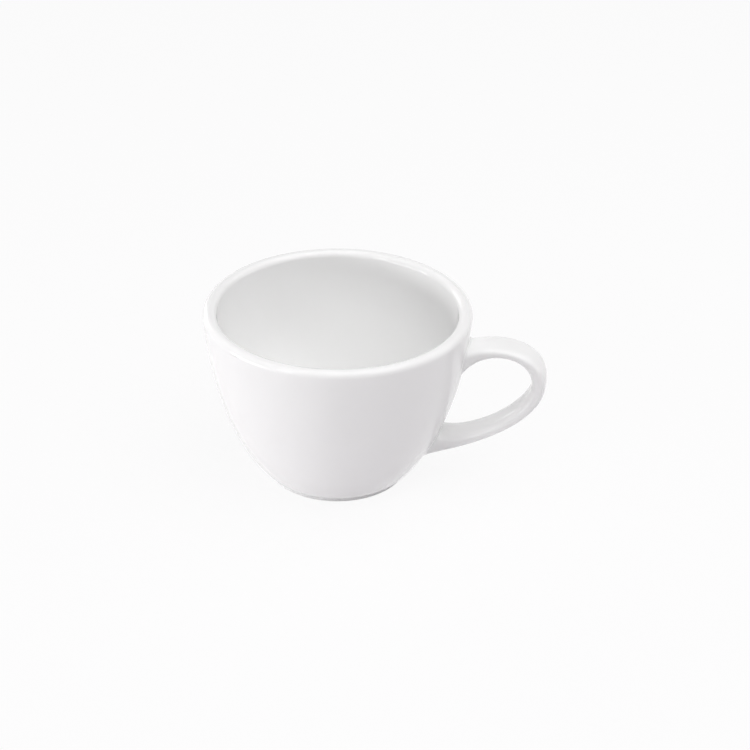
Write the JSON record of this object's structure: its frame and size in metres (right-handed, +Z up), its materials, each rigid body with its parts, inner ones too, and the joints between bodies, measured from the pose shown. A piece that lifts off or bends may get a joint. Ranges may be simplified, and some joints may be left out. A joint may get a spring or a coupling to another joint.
{
  "type": "coffee cup",
  "caption": "Glazed porcelain coffee cup with a thick rolled lip, tapering round bowl, low foot ring and strap handle luted on with slip.",
  "frame": {"origin": "on the bowl's axis, in the plane that the foot ring stands on", "axes": "+Z up along the bowl's axis, +X from the axis towards the handle"},
  "size_m": [0.1158, 0.09, 0.062],
  "materials": {
    "bowl_glaze": "clear gloss glaze over white porcelain, bare on the foot ring's land",
    "handle_glaze": "clear gloss glaze over white porcelain",
    "slip_glaze": "clear gloss glaze over fired slip"
  },
  "bodies": {
    "root": {"bowl": "bowl_glaze", "handle": "handle_glaze", "upper_slip_joint": "slip_glaze", "lower_slip_joint": "slip_glaze"}
  },
  "joints": []
}
